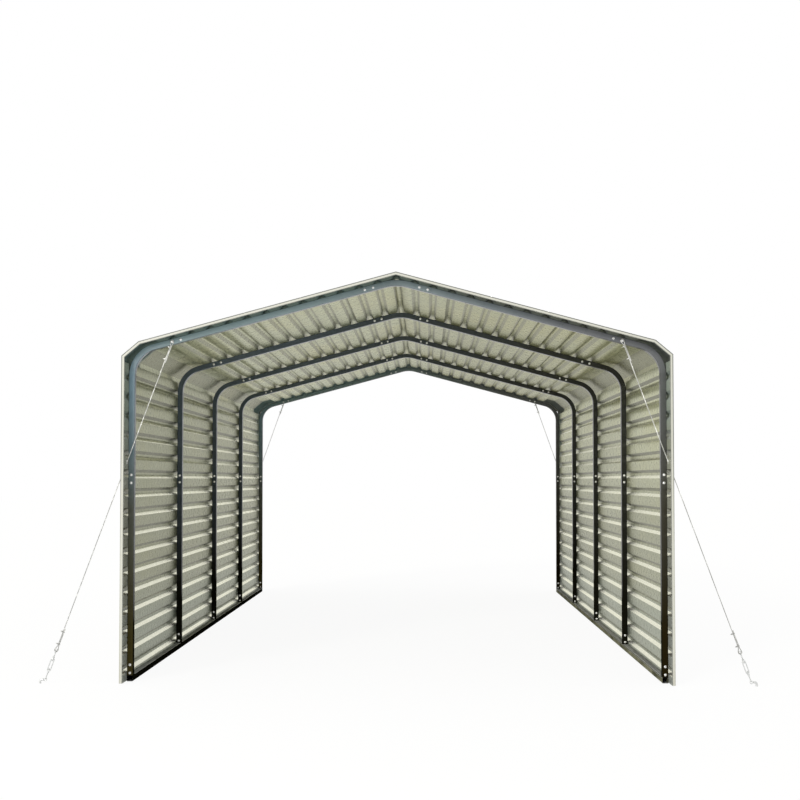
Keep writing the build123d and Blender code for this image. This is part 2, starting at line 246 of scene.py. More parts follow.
def rail_dust_and_sheen(g, height, colour):
    """Rails' tops: dust streaks lightened into a painted sheen, with a painted highlight along their inner
    edge. Painted light on the right rail's inner face, and a painted highlight band along the top of the faces
    turned to -X.
    """
    on_rail = g.spread(height, rail_top, rail_top + 0.0004, 1.0, 0.0)
    grain = g.spread(g.noise(14.0, 5.0, 0.6, g.stretched(6.0, 0.4, 1.0)), 0.35, 0.7, 0.0, 1.0)
    top_face = g.maths("MULTIPLY", on_rail, g.spread(g.normal_part("Z"), 0.90, 0.95, 0.0, 1.0))
    # Dust streaks on the rails' tops, lightened into a painted sheen.
    dust_and_sheen = g.mix(grain, (0.26, 0.26, 0.25), (0.66, 0.66, 0.63))
    # Painted highlight along the inner edge of the rails' tops.
    rail_edge = leg_line - tube / 2
    painted_edge_highlight = g.spread(g.maths("ABSOLUTE", g.part("X")), rail_edge + 0.006, rail_edge + 0.008, 1.0, 0.0)
    colour = g.mix(top_face, colour, g.mix(painted_edge_highlight, dust_and_sheen, (0.95, 0.95, 0.92)))
    inner_face = g.maths("MULTIPLY", on_rail, g.spread(g.normal_part("X"), -0.95, -0.90, 1.0, 0.0))
    # Painted light on the right rail's inner face.
    painted_light_right_rail = g.maths("MULTIPLY", inner_face, g.spread(g.part("X"), 0.0, 0.1, 0.0, 1.0))
    colour = g.mix(painted_light_right_rail, colour, g.mix(grain, (0.14, 0.14, 0.09), (0.48, 0.47, 0.33)))
    # Painted highlight along the top of the faces turned to -X.
    painted_highlight_band = g.maths("MULTIPLY", inner_face, g.spread(height, 0.031, 0.033, 0.0, 0.6))
    return g.mix(painted_highlight_band, colour, (0.55, 0.55, 0.52))


def powder_coat():
    """Near-black powder coat with a painted sky reflection that tints it blue on the left, painted reflection
    on the end bows' gable faces, mud specks low down, and rails with dust and painted highlights.
    """
    g = Graph("powder_coat_black")
    height = g.part("Z")
    across = g.spread(g.part("X"), -0.9, 1.2, 0.0, 1.0)
    patches = g.spread(g.noise(5.0, 4.0), 0.35, 0.7, 0.0, 1.0)
    high = g.spread(height, 0.5, 2.1, 0.0, 1.0)
    # Painted reflection of the sky: a blue tint on the left that grows with height, over painted shade that
    # darkens the coat low down.
    painted_cool_light = g.mix(patches, (0.080, 0.115, 0.155), (0.115, 0.152, 0.195))
    plain = g.mix(patches, (0.012, 0.013, 0.010), (0.018, 0.019, 0.016))
    coat_with_painted_light = g.mix(high, (0.010, 0.010, 0.006), g.mix(across, painted_cool_light, plain))
    # The end bows' gable faces get painted reflection of sky and ground.
    end_bow = g.spread(g.maths("ABSOLUTE", g.part("Y")), 2.93, 2.95, 0.0, 1.0)
    gable_face = g.spread(g.maths("ABSOLUTE", g.normal_part("Y")), 0.55, 0.95, 0.0, 1.0)
    above_rail = g.spread(height, rail_top, rail_top + 0.0018, 0.0, 1.0)
    painted_gable_reflection = g.maths("MULTIPLY", g.maths("MULTIPLY", end_bow, gable_face), above_rail)
    colour = g.mix(painted_gable_reflection, coat_with_painted_light, gable_painted_reflection(g, height, across, patches))
    splash = g.spread(height, rail_top, 0.12, 0.6, 0.0)
    specks = g.spread(g.noise(60.0, 6.0, 0.7), 0.6, 0.8, 0, 0.25)
    colour = g.mix(g.maths("MULTIPLY", splash, specks), colour, (0.12, 0.10, 0.065))
    colour = rail_dust_and_sheen(g, height, colour)
    roughness = g.spread(g.noise(9.0, 5.0, 0.65), 0.3, 0.75, 0.24, 0.40)
    peel = g.bump(g.noise(420.0, 1.0), 0.0004, 0.10)
    g.put(g.shader.inputs["Specular IOR Level"], g.spread(height, 0.4, 2.1, 0.0, 0.5))
    g.put(g.shader.inputs["Coat Weight"], g.maths("MULTIPLY", high, 0.30))
    g.put(g.shader.inputs["Coat Roughness"], 0.12)
    return g.finish(colour, roughness, peel)


sheet_metallic = 0.35
shade_fade = 0.06             # length over which the painted shade sets in


def spangled(g, height, light, stain, stain_share):
    """Zinc-coated face and its spangle: streaks along the rolling direction, stains, and dirt low down."""
    spangle = g.maths("MULTIPLY", g.maths("ADD", g.cells(95.0), g.cells(38.0)), 0.5)
    base = g.mix(spangle, tuple(0.86 * c for c in light), light)
    streaks = g.noise(7.0, 5.0, 0.6, g.stretched(3.0, 0.12, 3.0))
    base = g.mix(g.spread(streaks, 0.42, 0.68, 0, 0.35), base, tuple(0.72 * c for c in light))
    clouds = g.noise(1.7, 4.0, 0.6, g.stretched(1.0, 0.55, 1.0), 0.4)
    base = g.mix(g.spread(clouds, 0.45, 0.68, 0, stain_share), base, stain)
    # Painted cool light: the sheets are bluer towards the bottom.
    painted_cool_light = g.spread(height, 0.30, 0.70, 0.75, 0.0, smooth=True)
    base = g.mix(painted_cool_light, base, tuple(share * c for share, c in zip((0.86, 0.94, 1.16), light)))
    low = g.spread(height, 0.02, 0.25, 0.35, 0.0)
    dirt = g.spread(g.noise(14.0, 6.0, 0.7), 0.35, 0.75, 0.2, 1.0)
    return g.mix(g.maths("MULTIPLY", low, dirt), base, (0.27, 0.255, 0.20)), spangle


def wall_painted_light(g, base, height, up, right, inward, outward):
    """Walls: painted shade on rib slopes that face down and low on the walls, painted highlight on rib slopes
    that face up, and painted light on the right wall's upper part.

    Gives the colour, how metallic it is, how much painted shade it gets near the gables, and that shade's
    colour."""
    # Painted shade lower on both walls, and painted light on the right wall's upper part.
    painted_low_shade = g.spread(height, 1.0, 1.9, 0.77, 1.0)
    painted_right_light = g.maths("MULTIPLY", right, g.spread(height, 1.0, 1.9, 0.05, 0.52))
    base = g.mix(1.0, base, g.maths("ADD", painted_low_shade, painted_right_light), "MULTIPLY")
    base = g.mix(g.spread(outward, 0.05, 0.3, 0.0, 0.75), base, (0.47, 0.48, 0.455))
    # Painted shade on rib slopes that face down.
    base = g.mix(g.spread(up, -0.35, -0.65, 0.0, 0.85), base, (0.075, 0.075, 0.052))
    # Painted highlight on rib slopes that face up; they are also made more metallic.
    painted_highlight_slope = g.spread(up, 0.35, 0.65, 0.0, 1.0)
    base = g.mix(painted_highlight_slope, base, (0.88, 0.88, 0.83))
    metallic = g.spread(painted_highlight_slope, 0.0, 1.0, sheet_metallic, 0.85)
    # Painted shade on the inner faces near the gables: half strength on the pans, stronger and greener higher
    # up.
    upper = g.spread(height, 1.35, 1.75, 0.0, 0.8)
    pan = g.spread(g.maths("ABSOLUTE", up), 0.2, 0.4, 0.5, 0.0)
    tarnish_and_shade = g.maths("MULTIPLY", inward, g.maths("MAXIMUM", upper, pan))
    return base, metallic, tarnish_and_shade, g.mix(upper, (0.50, 0.51, 0.50), (0.30, 0.38, 0.33))


def roof_painted_light(g, base, height, up, right, inward, outward):
    """Roof and flashings: painted shade on both slopes of a rib underneath, and painted light that leaves the
    left slope lighter and greener and the right one darker and yellower. It gives what the walls' function
    does.
    """
    not_below = g.maths("MULTIPLY", outward, g.spread(up, -0.15, -0.05, 0.0, 1.0))
    outside = g.spread(g.maths("MAXIMUM", not_below, up), 0.05, 0.3, 0.0, 0.75)
    # Painted light: the left slope lighter and greener, the right one darker and yellower.
    base = g.mix(1.0, base, g.mix(right, (1.05, 1.10, 1.02), (0.79, 0.81, 0.58)), "MULTIPLY")
    base = g.mix(outside, base, (0.50, 0.51, 0.485))
    # Painted shade on both slopes of a rib underneath.
    painted_groove_shade = g.maths("MULTIPLY", g.spread(up, -0.94, -0.90, 0.0, 0.6), g.spread(up, -0.2, -0.3, 0.0, 1.0))
    base = g.mix(painted_groove_shade, base, (0.12, 0.115, 0.075))
    # Painted shade on the inner faces near the gables, on upright and downward faces, with a teal tint on the
    # left.
    upright = g.maths("MULTIPLY", inward, g.spread(up, 0.1, 0.3, 1.0, 0.0))
    tarnish_and_shade = g.maths("MULTIPLY", g.maths("MAXIMUM", upright, g.spread(up, -0.4, -0.1, 1.0, 0.0)), 0.85)
    return base, sheet_metallic, tarnish_and_shade, g.mix(right, (0.19, 0.28, 0.29), (0.19, 0.21, 0.215))


def galvanised(name, light, stain, stain_share, paint_light, shade_start):
    """Zinc-coated sheet with a slight waviness. Its inner faces get painted shade towards the gables."""
    g = Graph(name)
    height = g.part("Z")
    base, spangle = spangled(g, height, light, stain, stain_share)
    right = g.spread(g.part("X"), -0.3, 0.6, 0.0, 1.0)
    facing = g.maths("MULTIPLY", g.part("X"), g.normal_part("X"))
    inward = g.spread(facing, -0.9, -0.5, 1.0, 0.0)
    outward = g.spread(facing, 0.5, 0.9, 0.0, 1.0)
    up = g.normal_part("Z")
    base, metallic, tarnish_and_shade, painted_shade_colour = paint_light(g, base, height, up, right, inward, outward)
    # The painted shade only reaches the sheets near the gables, and there the sheet is made less metallic and
    # less glossy.
    past = g.maths("ABSOLUTE", g.part("Y"))
    past_bow = g.spread(past, shade_start, shade_start + shade_fade, 0.0, 1.0)
    tarnish_and_shade = g.maths("MULTIPLY", tarnish_and_shade, past_bow)
    base = g.mix(tarnish_and_shade, base, painted_shade_colour)
    metallic = g.maths("MULTIPLY", g.spread(tarnish_and_shade, 0.0, 0.8, 1.0, 0.0), metallic)
    fine = g.spread(g.noise(210.0, 3.0), 0.3, 0.7, -0.02, 0.02)
    roughness = g.maths("ADD", g.spread(spangle, 0.0, 1.0, 0.25, 0.33), fine)
    waves = g.bump(g.noise(1.0, 2.0, 0.5, g.stretched(5.0, 1.6, 5.0)), 0.006, 0.10)
    normal = g.bump(spangle, 0.0002, 0.06, waves)
    g.put(g.shader.inputs["Specular IOR Level"], g.spread(tarnish_and_shade, 0.0, 0.7, 0.16, 0.0))
    g.put(g.shader.inputs["Specular Tint"], (1.0, 0.99, 0.80, 1))
    return g.finish(base, roughness, normal, metallic)


def in_from_edge(g, reach, height, tilt):
    """Distance in from a line through a point of the trims' outer edge. Its normal leans out by the tilt."""
    x = g.maths("MULTIPLY", g.maths("ABSOLUTE", g.part("X")), sin(tilt))
    z = g.maths("MULTIPLY", g.part("Z"), cos(tilt))
    return g.maths("SUBTRACT", reach * sin(tilt) + height * cos(tilt), g.maths("ADD", x, z))


def cream_paint():
    """Satin cream paint on the trims, with faint grime. Painted shade darkens the gable flange along its outer
    edge and further in than a band from it.
    """
    outer_band = 0.006
    inner_band = 0.018
    soft = 0.0005
    g = Graph("cream_paint")
    tone = g.mix(g.noise(3.0, 3.0), (0.74, 0.735, 0.64), (0.80, 0.795, 0.71))
    grime = g.spread(g.noise(26.0, 6.0, 0.7), 0.55, 0.8, 0, 0.28)
    colour = g.mix(grime, tone, (0.56, 0.52, 0.41))
    low = g.spread(g.part("Z"), 0.0, 0.25, 0.35, 0.0)
    colour = g.mix(g.maths("MULTIPLY", low, g.noise(40.0, 5.0)), colour, (0.42, 0.37, 0.27))
    fold_height = trim_top - trim_fold_reach * tan(roof_pitch)
    fold_tilt = atan2(fold_height - trim_eave_height, trim_side - trim_fold_reach)
    inset = in_from_edge(g, trim_side, 0.0, pi / 2)
    inset = g.maths("MINIMUM", inset, in_from_edge(g, 0.0, trim_top, roof_pitch))
    inset = g.maths("MINIMUM", inset, in_from_edge(g, trim_side, trim_eave_height, fold_tilt))
    # Painted shade on the gable flange: a band along its outer edge, fainter lower down, and all of the flange
    # further in than the inner band.
    fading = g.spread(g.part("Z"), 0.8, 1.6, 0.2, 1.0)
    outer = g.spread(inset, outer_band - soft, outer_band + soft, 1.0, 0.0)
    inner = g.spread(inset, inner_band - soft, inner_band + soft, 0.0, 1.0)
    painted_shade_bands = g.maths("MAXIMUM", g.maths("MULTIPLY", outer, fading), inner)
    flange = g.spread(g.maths("ABSOLUTE", g.normal_part("Y")), 0.55, 0.95, 0.0, 0.8)
    colour = g.mix(g.maths("MULTIPLY", flange, painted_shade_bands), colour, (0.06, 0.07, 0.065))
    roughness = g.spread(g.noise(12.0, 4.0), 0.3, 0.7, 0.34, 0.48)
    return g.finish(colour, roughness, g.bump(g.noise(500.0, 1.0), 0.0003, 0.08))


def zinc(name, light, dark, rough_low, rough_high, scale, low_shade=0.0):
    """Zinc plating or hot-dip coating on small steel parts, which can be given painted shade below the walls'
    middle.
    """
    g = Graph(name)
    mottle = g.noise(scale, 4.0, 0.6)
    colour = g.mix(g.spread(mottle, 0.3, 0.7, 0, 1), dark, light)
    tarnish_and_shade = g.spread(g.noise(scale * 0.3, 4.0), 0.55, 0.8, 0, 0.5)
    colour = g.mix(tarnish_and_shade, colour, (0.36, 0.33, 0.26))
    # Painted shade that darkens the parts below 1.0 to 1.5 m.
    colour = g.mix(g.spread(g.part("Z"), 1.0, 1.5, low_shade, 0.0), colour, (0.16, 0.165, 0.16))
    roughness = g.spread(g.noise(scale * 2, 2.0), 0.3, 0.7, rough_low, rough_high)
    return g.finish(colour, roughness, g.bump(mottle, 0.0003, 0.15), metallic=0.9)


def rubber():
    """Sealing washers under the sheet screws."""
    g = Graph("sealing_rubber")
    colour = g.mix(g.noise(300.0, 3.0), (0.028, 0.028, 0.030), (0.055, 0.054, 0.052))
    roughness = g.spread(g.noise(500.0), 0.3, 0.7, 0.6, 0.8)
    return g.finish(colour, roughness, g.bump(g.noise(900.0), 0.0002, 0.2))


# The roof's and flashings' khaki is partly painted light: the ground's colour thrown up onto the sheets'
# undersides.
wall_tones = [(0.48, 0.495, 0.36), (0.45, 0.445, 0.25)]
roof_tones = [(0.60, 0.60, 0.46), (0.60, 0.55, 0.30)]
flashing_tones = [(0.54, 0.54, 0.42), (0.56, 0.51, 0.28)]
wall_zinc = galvanised("galvanised_wall", *wall_tones, 0.5, wall_painted_light, 2.85)
roof_zinc = galvanised("galvanised_roof", *roof_tones, 0.7, roof_painted_light, 2.80)
flashing_zinc = galvanised("galvanised_flashing", *flashing_tones, 0.6, roof_painted_light, 2.60)
fitting_zinc = zinc("hot_dip_zinc", (0.78, 0.79, 0.78), (0.58, 0.59, 0.58), 0.38, 0.55, 90.0)
bolt_zinc = zinc("bright_zinc", (0.97, 0.97, 0.95), (0.88, 0.88, 0.86), 0.30, 0.42, 260.0)
wire_zinc = zinc("strand_zinc", (0.88, 0.88, 0.84), (0.68, 0.68, 0.65), 0.36, 0.50, 150.0, low_shade=0.45)
seal = rubber()

slot_materials = {
    "frame_tube": powder_coat(),
    "wall_sheet": wall_zinc,
    "roof_sheet": roof_zinc,
    "flashing": flashing_zinc,
    "trim": cream_paint(),
    "wire": wire_zinc,
    "fittings": fitting_zinc,
}


# The frame's own pieces

def modifier_group(name):
    """Empty node group for a modifier, with its first and last node."""
    group = bpy.data.node_groups.new(name, "GeometryNodeTree")
    for way in ("INPUT", "OUTPUT"):
        group.interface.new_socket("Geometry", in_out=way, socket_type="NodeSocketGeometry")
    return group, group.nodes.new("NodeGroupInput"), group.nodes.new("NodeGroupOutput")


def clean_group():
    """Joins the faces of an imported solid at their shared corners and drops its stored normals."""
    group, start, end = modifier_group("joined_faces")
    drop = group.nodes.new("GeometryNodeRemoveAttribute")
    drop.inputs["Name"].default_value = "custom_normal"
    merge = group.nodes.new("GeometryNodeMergeByDistance")
    merge.inputs["Distance"].default_value = 0.00001
    group.links.new(start.outputs[0], drop.inputs["Geometry"])
    group.links.new(drop.outputs["Geometry"], merge.inputs["Geometry"])
    group.links.new(merge.outputs["Geometry"], end.inputs[0])
    return group


def shading_group(limit):
    """Shades faces smooth, apart from across edges sharper than the limit."""
    group, start, end = modifier_group("shaded_by_angle")
    angle = group.nodes.new("GeometryNodeInputMeshEdgeAngle")
    below = group.nodes.new("FunctionNodeCompare")
    below.data_type = "FLOAT"
    below.operation = "LESS_EQUAL"
    below.inputs[1].default_value = limit
    faces = group.nodes.new("GeometryNodeSetShadeSmooth")
    edges = group.nodes.new("GeometryNodeSetShadeSmooth")
    edges.domain = "EDGE"
    group.links.new(angle.outputs["Unsigned Angle"], below.inputs[0])
    group.links.new(start.outputs[0], faces.inputs["Geometry"])
    group.links.new(faces.outputs[0], edges.inputs["Geometry"])
    group.links.new(below.outputs[0], edges.inputs["Shade Smooth"])
    group.links.new(edges.outputs[0], end.inputs[0])
    return group


joined_faces = clean_group()
shaded_by_angle = shading_group(radians(50))


def ease_edges(piece, width):
    """Rounds a frame piece's edges a little and shades it by angle."""
    piece.modifiers.new("joined", "NODES").node_group = joined_faces
    if width:
        bevel = piece.modifiers.new("eased", "BEVEL")
        bevel.width = width
        bevel.segments = 2
        bevel.limit_method = "ANGLE"
        bevel.angle_limit = radians(30)
        bevel.use_clamp_overlap = False
    piece.modifiers.new("shaded", "NODES").node_group = shaded_by_angle
    weighted = piece.modifiers.new("weighted", "WEIGHTED_NORMAL")
    weighted.keep_sharp = True


edge_widths = {"frame_tube": 0.0006, "trim": 0.0003}
for subpart in frame["record"]["subparts"]:
    piece = frame["nodes"][subpart["node"]]
    finish = subpart["material_slot"]
    piece.data.materials.clear()
    piece.data.materials.append(slot_materials[finish])
    ease_edges(piece, edge_widths.get(finish, 0))


# Mesh building

def axes(origin, way, side=None):
    """Matrix whose Z runs along a direction. Its X is as near as can be to the given side."""
    z = way.normalized()
    hint = side or (Vector((0, 0, 1)) if abs(z.z) < 0.9 else Vector((1, 0, 0)))
    x = (hint - z * hint.dot(z)).normalized()
    y = z.cross(x)
    matrix = Matrix((x, y, z)).transposed().to_4x4()
    matrix.translation = origin
    return matrix


def turned(bm, place, profile, count, paint=0):
    """Solid of revolution from (radius, height) pairs that start and end on the axis."""
    rings = []
    for radius, height in profile:
        if radius == 0:
            rings.append([bm.verts.new(place @ Vector((0, 0, height)))])
            continue
        ring = []
        for i in range(count):
            a = 2 * pi * i / count
            ring.append(bm.verts.new(place @ Vector((radius * cos(a), radius * sin(a), height))))
        rings.append(ring)
    for low, high in zip(rings, rings[1:]):
        for i in range(count):
            j = (i + 1) % count
            if len(low) == 1:
                corners = [low[0], high[j], high[i]]
            elif len(high) == 1:
                corners = [low[i], low[j], high[0]]
            else:
                corners = [low[i], low[j], high[j], high[i]]
            bm.faces.new(corners).material_index = paint


def swept(bm, points, radius, sides, closed=False, paint=0, side=None, flat=1.0):
    """Bar of round or flattened section along a line of points."""
    count = len(points)
    ways = []
    for i in range(count):
        before = points[i - 1] if (closed or i > 0) else points[0]
        after = points[(i + 1) % count] if (closed or i < count - 1) else points[-1]
        ways.append((after - before).normalized())
    across = side or ways[0].orthogonal()
    rings = []
    for point, way in zip(points, ways):
        across = (across - way * across.dot(way)).normalized()
        other = way.cross(across)
        ring = []
        for k in range(sides):
            a = 2 * pi * k / sides
            offset = across * (radius * flat * cos(a)) + other * (radius * sin(a))
            ring.append(bm.verts.new(point + offset))
        rings.append(ring)
    pairs = list(zip(rings, rings[1:]))
    if closed:
        pairs.append((rings[-1], rings[0]))
    for low, high in pairs:
        for k in range(sides):
            m = (k + 1) % sides
            bm.faces.new([low[k], low[m], high[m], high[k]]).material_index = paint
    if not closed:
        bm.faces.new(list(reversed(rings[0]))).material_index = paint
        bm.faces.new(rings[-1]).material_index = paint


def ring_points(centre, u, v, radius, count):
    """Points evenly round a circle in the plane of two directions."""
    angles = [2 * pi * i / count for i in range(count)]
    return [centre + (u * cos(a) + v * sin(a)) * radius for a in angles]


def piece_from(bm, name, materials):
    """Finished object from a mesh in the making. It belongs to the root body."""
    bmesh.ops.recalc_face_normals(bm, faces=bm.faces)
    mesh = bpy.data.meshes.new(name)
    bm.to_mesh(mesh)
    bm.free()
    for material in materials:
        mesh.materials.append(material)
    mesh.polygons.foreach_set("use_smooth", [True] * len(mesh.polygons))
    mesh.set_sharp_from_angle(angle=radians(32))
    piece = bpy.data.objects.new(name, mesh)
    bpy.context.scene.collection.objects.link(piece)
    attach(piece, "root")
    return piece


# Bolts of the bows

bolt_radius = 0.004
bolt_across = 0.0075            # corner radius of the hexagon
washer_radius = 0.0088
washer_thickness = 0.0016
head_height = 0.0053
nut_height = 0.0065
bolt_show = 0.004               # of the bolt's end, past the nut
thread_step = 0.00125
foot_bolts = (0.056, 0.110)     # heights, in the rails' stubs
joint_bolts = (0.046, 0.100)    # above the legs' joint
rafter_bolt_gap = 0.058
ridge_bolts = (0.0195, 0.076)   # in from the ridge joint
eye_proud = 0.0082              # an eye's thickness and tilt under the bolt's washer


def washer(bm, place):
    edge = 0.0003
    turned(bm, place, [
        (0, 0), (washer_radius - edge, 0), (washer_radius, edge),
        (washer_radius, washer_thickness - edge), (washer_radius - edge, washer_thickness),
        (bolt_radius, washer_thickness), (0, washer_thickness),
    ], 28)


def hexagon(bm, place, base, height, across):
    """Hexagon head or nut with its corners turned down at both ends."""
    ease_in = across * 0.12
    ease_up = ease_in * 0.6
    top = base + height
    crown = top + 0.0001
    turned(bm, place, [
        (0, base), (across - ease_in, base), (across, base + ease_up), (across, top - ease_up),
        (across - ease_in, top), (across * 0.62, crown), (0, crown),
    ], 6)


def threads(bm, place, start, end, radius):
    """Bar with thread ridges from one height to another."""
    root = radius * 0.88
    profile = [(0, start), (radius * 0.9, start)]
    height = start + thread_step / 2
    while height < end - thread_step:
        profile += [(radius, height), (root, height + thread_step / 2)]
        height += thread_step
    profile += [(radius * 0.86, end), (0, end)]
    turned(bm, place, profile, 14)


def bolt(bm, x, z, front, rear, turn, proud_front, proud_rear):
    """Bolt through a tube from front to rear: its head and washer, then a washer and nut behind."""
    head = axes(Vector((x, front - proud_front, z)), Vector((0, -1, 0))) @ Matrix.Rotation(turn, 4, "Z")
    washer(bm, head)
    hexagon(bm, head, washer_thickness, head_height, bolt_across)
    tail = axes(Vector((x, rear + proud_rear, z)), Vector((0, 1, 0))) @ Matrix.Rotation(turn * 1.7, 4, "Z")
    washer(bm, tail)
    hexagon(bm, tail, washer_thickness, nut_height, bolt_across)
    nut_top = washer_thickness + nut_height
    threads(bm, tail, nut_top, nut_top + bolt_show, bolt_radius)
    for place, proud in ((head, proud_front), (tail, proud_rear)):
        if proud:
            turned(bm, place, [(0, -proud), (bolt_radius, -proud), (bolt_radius, 0), (0, 0)], 14)


bolt_heights = [*foot_bolts, *(leg_joint_height + rise for rise in joint_bolts)]
rafter_bolt_reaches = [anchor_reach, anchor_reach - rafter_bolt_gap]
ridge_bolt_reaches = [ridge_joint_reach - inset for inset in ridge_bolts]

for number, (front, rear) in enumerate(bow_faces, start=1):
    bm = bmesh.new()
    for side in side_pair:
        places = [(leg_line, z) for z in bolt_heights]
        places += [(x, rafter_height(x)) for x in rafter_bolt_reaches + ridge_bolt_reaches]
        for k, (x, z) in enumerate(places):
            anchored = x == anchor_reach
            proud_front = eye_proud if anchored and number == 1 else 0.0
            proud_rear = eye_proud if anchored and number == bow_count else 0.0
            turn = 0.7 * k + 1.3 * number + side
            bolt(bm, side * x, z, front, rear, turn, proud_front, proud_rear)
    piece_from(bm, f"bow_{number}_bolts", [bolt_zinc])


# Screws of the sheets, flashings and trims

screw_flange = 0.0068
flange_edge = 0.0006
flange_top = 0.0012
screw_head_height = 0.0040
screw_head_seat = 0.0009
screw_across = 0.0046
seal_radius = 0.0076
seal_bulge = seal_radius * 1.02
seal_rim = seal_radius * 0.96
seal_thickness = 0.0016


def sheet_screw(bm, place, turn):
    """Hexagon washer-head screw on a rubber seal."""
    place = place @ Matrix.Rotation(turn, 4, "Z")
    top = seal_thickness
    turned(bm, place, [
        (0, 0), (seal_radius, 0), (seal_bulge, top / 2), (seal_rim, top), (0, top),
    ], 16, paint=1)
    turned(bm, place, [
        (0, top), (screw_flange, top), (screw_flange, top + flange_edge),
        (screw_across * 1.05, top + flange_top), (0, top + flange_top),
    ], 16)
    hexagon(bm, place, top + screw_head_seat, screw_head_height, screw_across)


bow_lines = [(front + rear) / 2 for front, rear in bow_faces]
pan_shift = 0.058               # from a rib's centre to the screw in the pan beside it
stitch_step = 0.495
stitch_count = 12
stitch_lines = [stitch_step * (i - (stitch_count - 1) / 2) for i in range(stitch_count)]


def wall_screws(side):
    """Screws through the wall's pans into the legs, and through the crowns of its laps."""
    bm = bmesh.new()
    out = Vector((side, 0, 0))
    pan_face = wall_sheet_line + sheet_thickness
    lap_face = wall_sheet_line + rib_crown + lap_lift
    for y in bow_lines:
        for k in range(top_wall_rib):
            z = lowest_wall_rib + rib_pitch * k + pan_shift
            sheet_screw(bm, axes(Vector((side * pan_face, y, z)), out), k + 9 * y)
    for k in wall_lap_ribs + [top_wall_rib]:
        for y in stitch_lines:
            z = lowest_wall_rib + rib_pitch * k
            sheet_screw(bm, axes(Vector((side * lap_face, y, z)), out), k + 7 * y)
    return bm


def roof_screws(side):
    """Screws through the roof's pans into the rafters, and through the crowns of its laps."""
    bm = bmesh.new()
    out = roof_normal(side)
    for y in bow_lines:
        for k in range(last_roof_rib):
            down = rib_pitch * k + pan_shift
            sheet_screw(bm, axes(roof_place(side, down, sheet_thickness, y), out), k + 5 * y)
    for k in roof_lap_ribs + [last_roof_rib]:
        face = rib_crown + (lap_lift if k in roof_lap_ribs else 0.0)
        for y in stitch_lines:
            sheet_screw(bm, axes(roof_place(side, rib_pitch * k, face, y), out), k + 3 * y)
    return bm


trim_ribs_on_wall = [1, 4, 7, 10, 12, 15]
trim_ribs_on_roof = [2, 5, 8, 11]
trim_screw_inset = 0.026        # from the gable face of a trim


def trim_screws(gable, inwards):
    """Screws through the outer leg of a gable's trims into the ribs."""
    bm = bmesh.new()
    y = gable + inwards * trim_screw_inset
    level = (trim_top - sheet_apex) * cos(roof_pitch)
    for side in side_pair:
        for k in trim_ribs_on_wall:
            z = lowest_wall_rib + rib_pitch * k
            sheet_screw(bm, axes(Vector((side * trim_side, y, z)), Vector((side, 0, 0))), k)
        for k in trim_ribs_on_roof:
            sheet_screw(bm, axes(roof_place(side, rib_pitch * k, level, y), roof_normal(side)), k)
    return bm


for side, word in zip(side_pair, ("left", "right")):
    piece_from(wall_screws(side), f"{word}_wall_screws", [bolt_zinc, seal])
    piece_from(roof_screws(side), f"{word}_roof_screws", [bolt_zinc, seal])
piece_from(trim_screws(trim_ends[0], 1), "front_trim_screws", [bolt_zinc, seal])
piece_from(trim_screws(trim_ends[1], -1), "rear_trim_screws", [bolt_zinc, seal])


# Guy wires: each runs from an eye on a bow's bolt to the turnbuckle on its stake

wire_radius = 0.003
strand_radius = 0.00105
strand_count = 6
strand_turn = 0.040             # length of wire in which a strand goes once round
points_per_turn = 9
thimble_radius = 0.0079
thimble_bar = 0.0021
loop_radius = 0.0112            # of the wire's centre line round the thimble
throat_length = 0.036           # from the loop's centre to where both parts lie together
tail_length = 0.150
tail_offset = 0.0063
clip_places = (0.042, 0.128)    # from the loop's centre, along the wire
clip_bar = 0.0017
clip_clearance = 0.0001
clip_leg_end = 0.0175           # from the wire's centre line to the end of the U-bolt's legs
saddle_depth = 0.0075
saddle_width = 0.0195
saddle_length = 0.0080
saddle_sink = 0.00005           # of wire into saddle and of saddle into nut
clip_nut_height = 0.0028
clip_nut_across = 0.0034
turnbuckle_bar = 0.0032
turnbuckle_corner = 0.010       # depth of the loop's rounded ends
boss_profile = [
    (0, 0), (0.0058, 0), (0.0070, 0.0014), (0.0072, 0.0080), (0.0066, turnbuckle_end - 0.0012),
    (0.0056, turnbuckle_end), (0, turnbuckle_end),
]
shank_radius = 0.0040
shank_overlap = 0.0015          # of the eye's shank into its ring
shank_plain = 0.006             # length without thread, next to the ring
neck_profile = [(0, -0.007), (0.0036, -0.007), (0.0034, -0.002), (0.0028, 0), (0, 0)]
lock_nut_height = 0.0050
lock_nut_across = 0.0075
eye_ring_radius = eye_hole_radius + eye_bar / 2
stake_tip_reach = 0.0115        # from the eye out to the stake's blunt end


class Stay:
    """Places along one guy wire and its turnbuckle, from the bow's bolt down to the stake's eye."""

    def __init__(self, side, gable):
        eye_radius = eye_hole_radius + eye_bar
        end_face = bow_faces[0][0] if gable < 0 else bow_faces[-1][1]
        top_height = rafter_height(anchor_reach)
        tilt = atan2(stake_set_out, top_height - stake_eye_height)
        stand_off = seat_gap + eye_bar / 2 + eye_radius * sin(tilt)
        self.top = Vector((side * anchor_reach, end_face + gable * stand_off, top_height))
        stake_x = side * (leg_line + tube / 2 + stake_set_aside)
        self.stake_eye = Vector((stake_x, end_face + gable * stake_set_out, stake_eye_height))
        self.way = (self.stake_eye - self.top).normalized()
        lengthwise = Vector((0, 1, 0))
        self.face = self.way.cross(lengthwise).cross(self.way).normalized()
        self.across = self.way.cross(self.face).normalized()
        link = 2 * sqrt(eye_hole_radius ** 2 - (eye_bar / 2) ** 2) - seat_gap
        self.lower_eye = self.stake_eye - self.way * link
        self.body_low = self.lower_eye - self.way * (eye_radius + screw_length)
        self.body_high = self.body_low - self.way * turnbuckle_length
        self.upper_eye = self.body_high - self.way * (eye_radius + screw_length)
        self.wire_end = self.upper_eye - self.way * link


